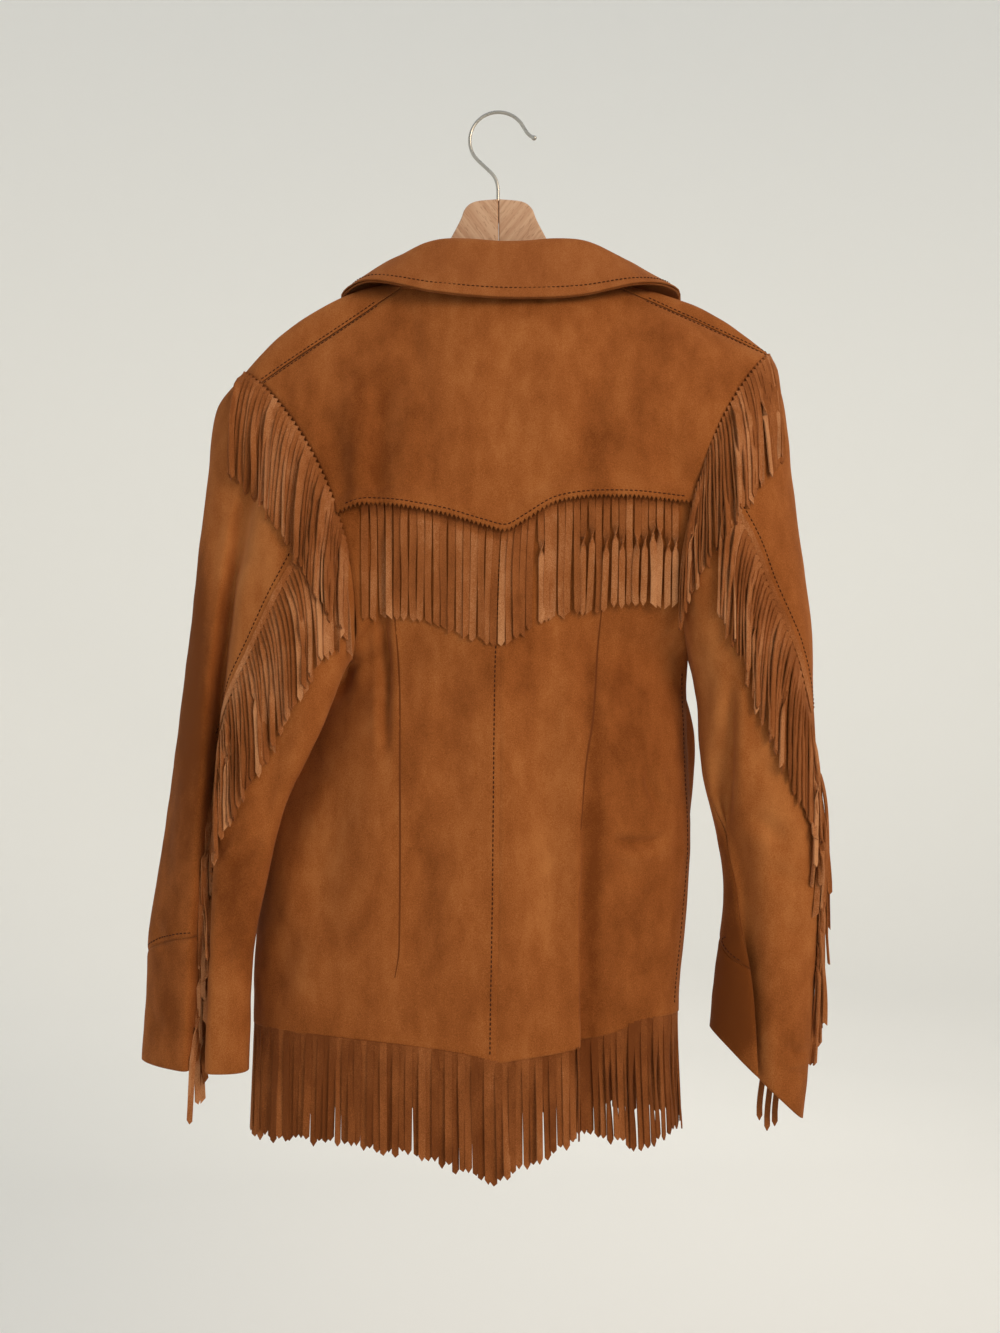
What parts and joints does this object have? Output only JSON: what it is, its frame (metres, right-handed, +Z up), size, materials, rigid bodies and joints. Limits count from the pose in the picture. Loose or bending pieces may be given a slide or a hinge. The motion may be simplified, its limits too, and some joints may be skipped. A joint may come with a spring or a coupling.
{
  "type": "fringed buckskin jacket on a wooden hanger",
  "caption": "Suede western jacket hanging open-hemmed from a wooden hanger, with slit fringe on yoke, armholes, sleeves and hem, folded collar and bent wire hook.",
  "frame": {"origin": "inside of the hook's crown, the point that rests on a rail or pin", "axes": "+Z up along the hanging jacket; +Y from the jacket's back, which faces -Y, through to its front; +X towards the wearer's right"},
  "size_m": [0.5997, 0.1572, 0.915],
  "materials": {
    "suede": "matt tan suede with soft nap patches",
    "collar_suede": "matt tan suede, two layers edge-stitched",
    "fringe_suede": "matt tan suede cut into narrow strips",
    "beech": "plain pale beech, satin",
    "steel_wire": "plain bright steel wire"
  },
  "bodies": {
    "root": {"back_yoke": "suede", "back_left": "suede", "back_right": "suede", "front_left": "suede", "front_right": "suede", "sleeve_top_left": "suede", "sleeve_top_right": "suede", "sleeve_under_left": "suede", "sleeve_under_right": "suede", "sleeve_cuff_left": "suede", "sleeve_cuff_right": "suede", "collar_upper": "collar_suede", "collar_under": "collar_suede", "fringe_yoke": "fringe_suede", "fringe_armhole_left": "fringe_suede", "fringe_armhole_right": "fringe_suede", "fringe_sleeve_left": "fringe_suede", "fringe_sleeve_right": "fringe_suede", "fringe_forearm_left": "fringe_suede", "fringe_forearm_right": "fringe_suede", "hanger_arm_left": "beech", "hanger_arm_right": "beech", "hanger_hook": "steel_wire"}
  },
  "joints": []
}
